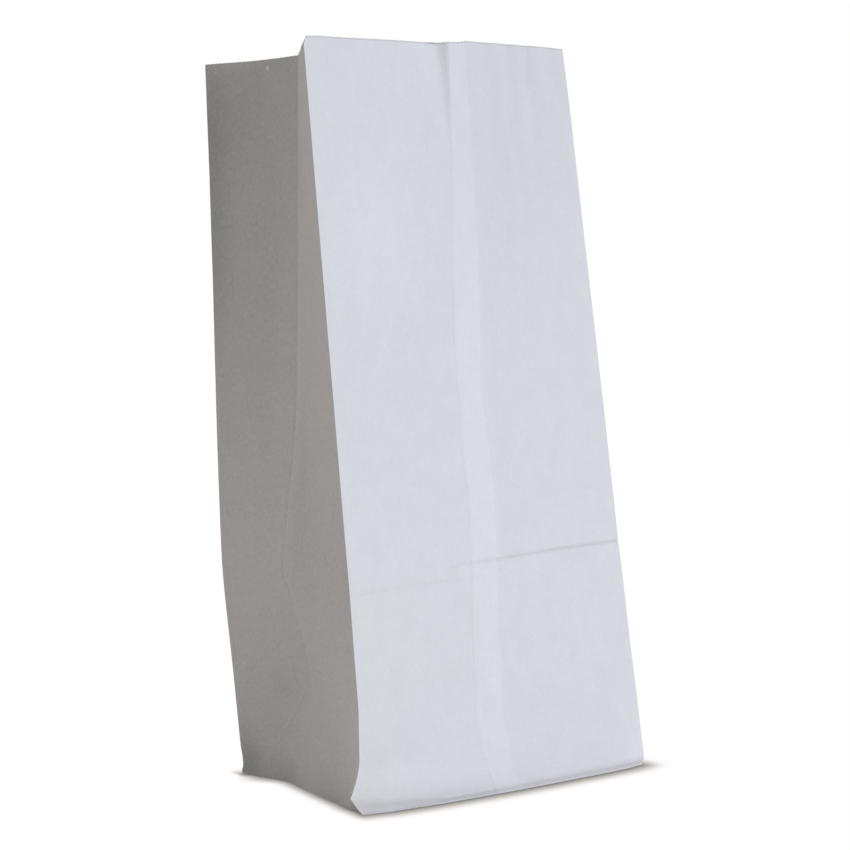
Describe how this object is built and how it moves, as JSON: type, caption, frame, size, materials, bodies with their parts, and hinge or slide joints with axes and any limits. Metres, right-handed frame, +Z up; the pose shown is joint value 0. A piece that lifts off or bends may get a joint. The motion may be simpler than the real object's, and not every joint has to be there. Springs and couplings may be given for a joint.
{
  "type": "paper grocery bag",
  "caption": "Plain white flat-bottomed paper bag with side gussets, opened and standing empty, leaning and slightly twisted, with an open mouth.",
  "frame": {"origin": "on the ground, in the middle of the flat base", "axes": "+Z up, -Y towards the panel with the glued seam, +X to the right when looking at that panel"},
  "size_m": [0.1814, 0.1303, 0.3425],
  "materials": {
    "white_paper": "matt bleached kraft paper with a fine fibre texture, crease lines and soft wrinkles"
  },
  "bodies": {
    "root": {"bag": "white_paper"}
  },
  "joints": []
}
